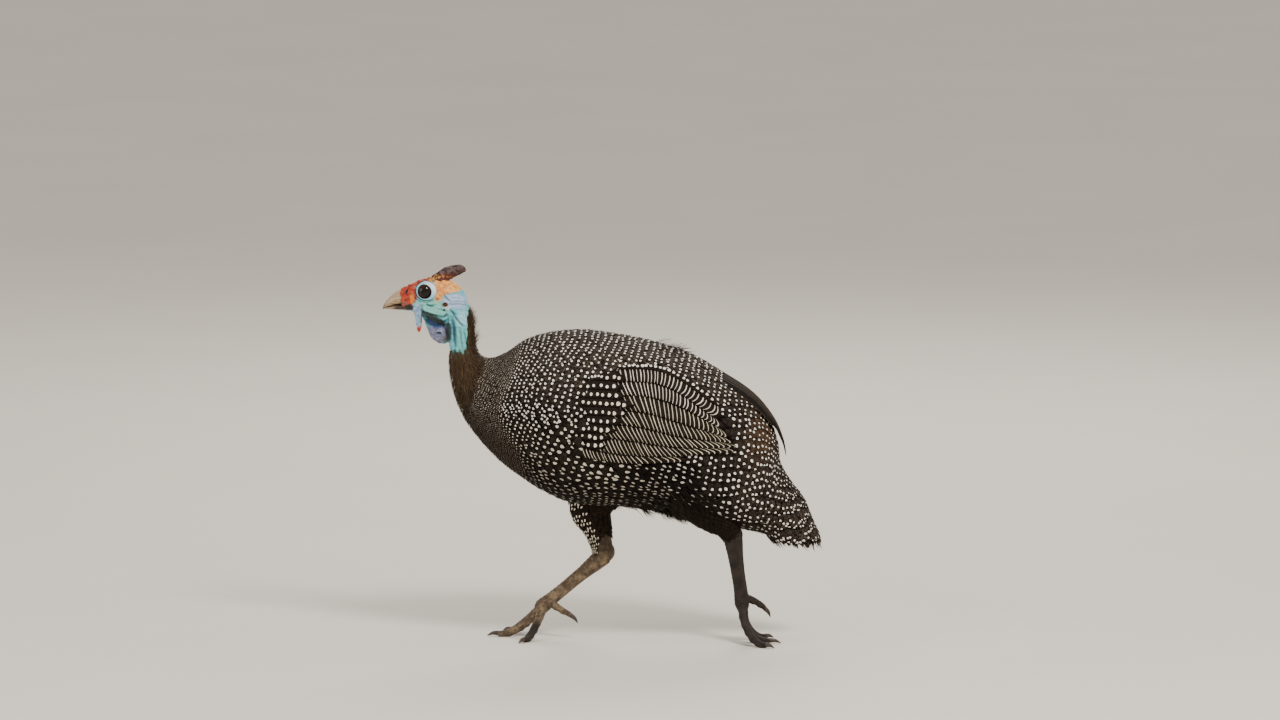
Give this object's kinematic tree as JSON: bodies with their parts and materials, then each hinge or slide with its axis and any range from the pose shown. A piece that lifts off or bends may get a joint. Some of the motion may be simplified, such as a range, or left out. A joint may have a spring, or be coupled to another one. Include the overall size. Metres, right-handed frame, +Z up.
{
  "type": "guinea fowl",
  "caption": "Helmeted guinea fowl at life size, striding, with spotted dark plumage, a bare blue neck and a bony casque.",
  "frame": {"origin": "on the floor, below the middle of the bird's length and width", "axes": "+X towards the tail, so the bird looks along -X; -Y on its left side; +Z up"},
  "size_m": [0.4392, 0.1626, 0.3801],
  "materials": {
    "plumage": "soft, dark, spotted white",
    "flight_feather": "smooth, dark brown, slight sheen",
    "blue_skin": "matt, wrinkled",
    "throat_skin": "matt, folded",
    "wattle_skin": "matt, with a red tip",
    "casque_bone": "rough, bony",
    "bill_horn": "satin horn",
    "eye": "clear, dark brown",
    "leg_skin": "scaled",
    "claw_horn": "satin horn"
  },
  "bodies": {
    "root": {"bill_lower": "bill_horn", "bill_upper": "bill_horn", "casque": "casque_bone", "claw_left_hind": "claw_horn", "claw_left_inner": "claw_horn", "claw_left_middle": "claw_horn", "claw_left_outer": "claw_horn", "claw_right_hind": "claw_horn", "claw_right_inner": "claw_horn", "claw_right_middle": "claw_horn", "claw_right_outer": "claw_horn", "eye_left": "eye", "eye_right": "eye", "foot_left": "leg_skin", "foot_right": "leg_skin", "head": "blue_skin", "leg_left": "plumage", "leg_right": "plumage", "neck_lower": "plumage", "neck_upper": "blue_skin", "primaries_left": "flight_feather", "primaries_right": "flight_feather", "shank_left": "leg_skin", "shank_right": "leg_skin", "tail": "plumage", "throat_fold": "throat_skin", "torso": "plumage", "wattle_left": "wattle_skin", "wattle_right": "wattle_skin", "wing_left": "plumage", "wing_right": "plumage"}
  },
  "joints": []
}
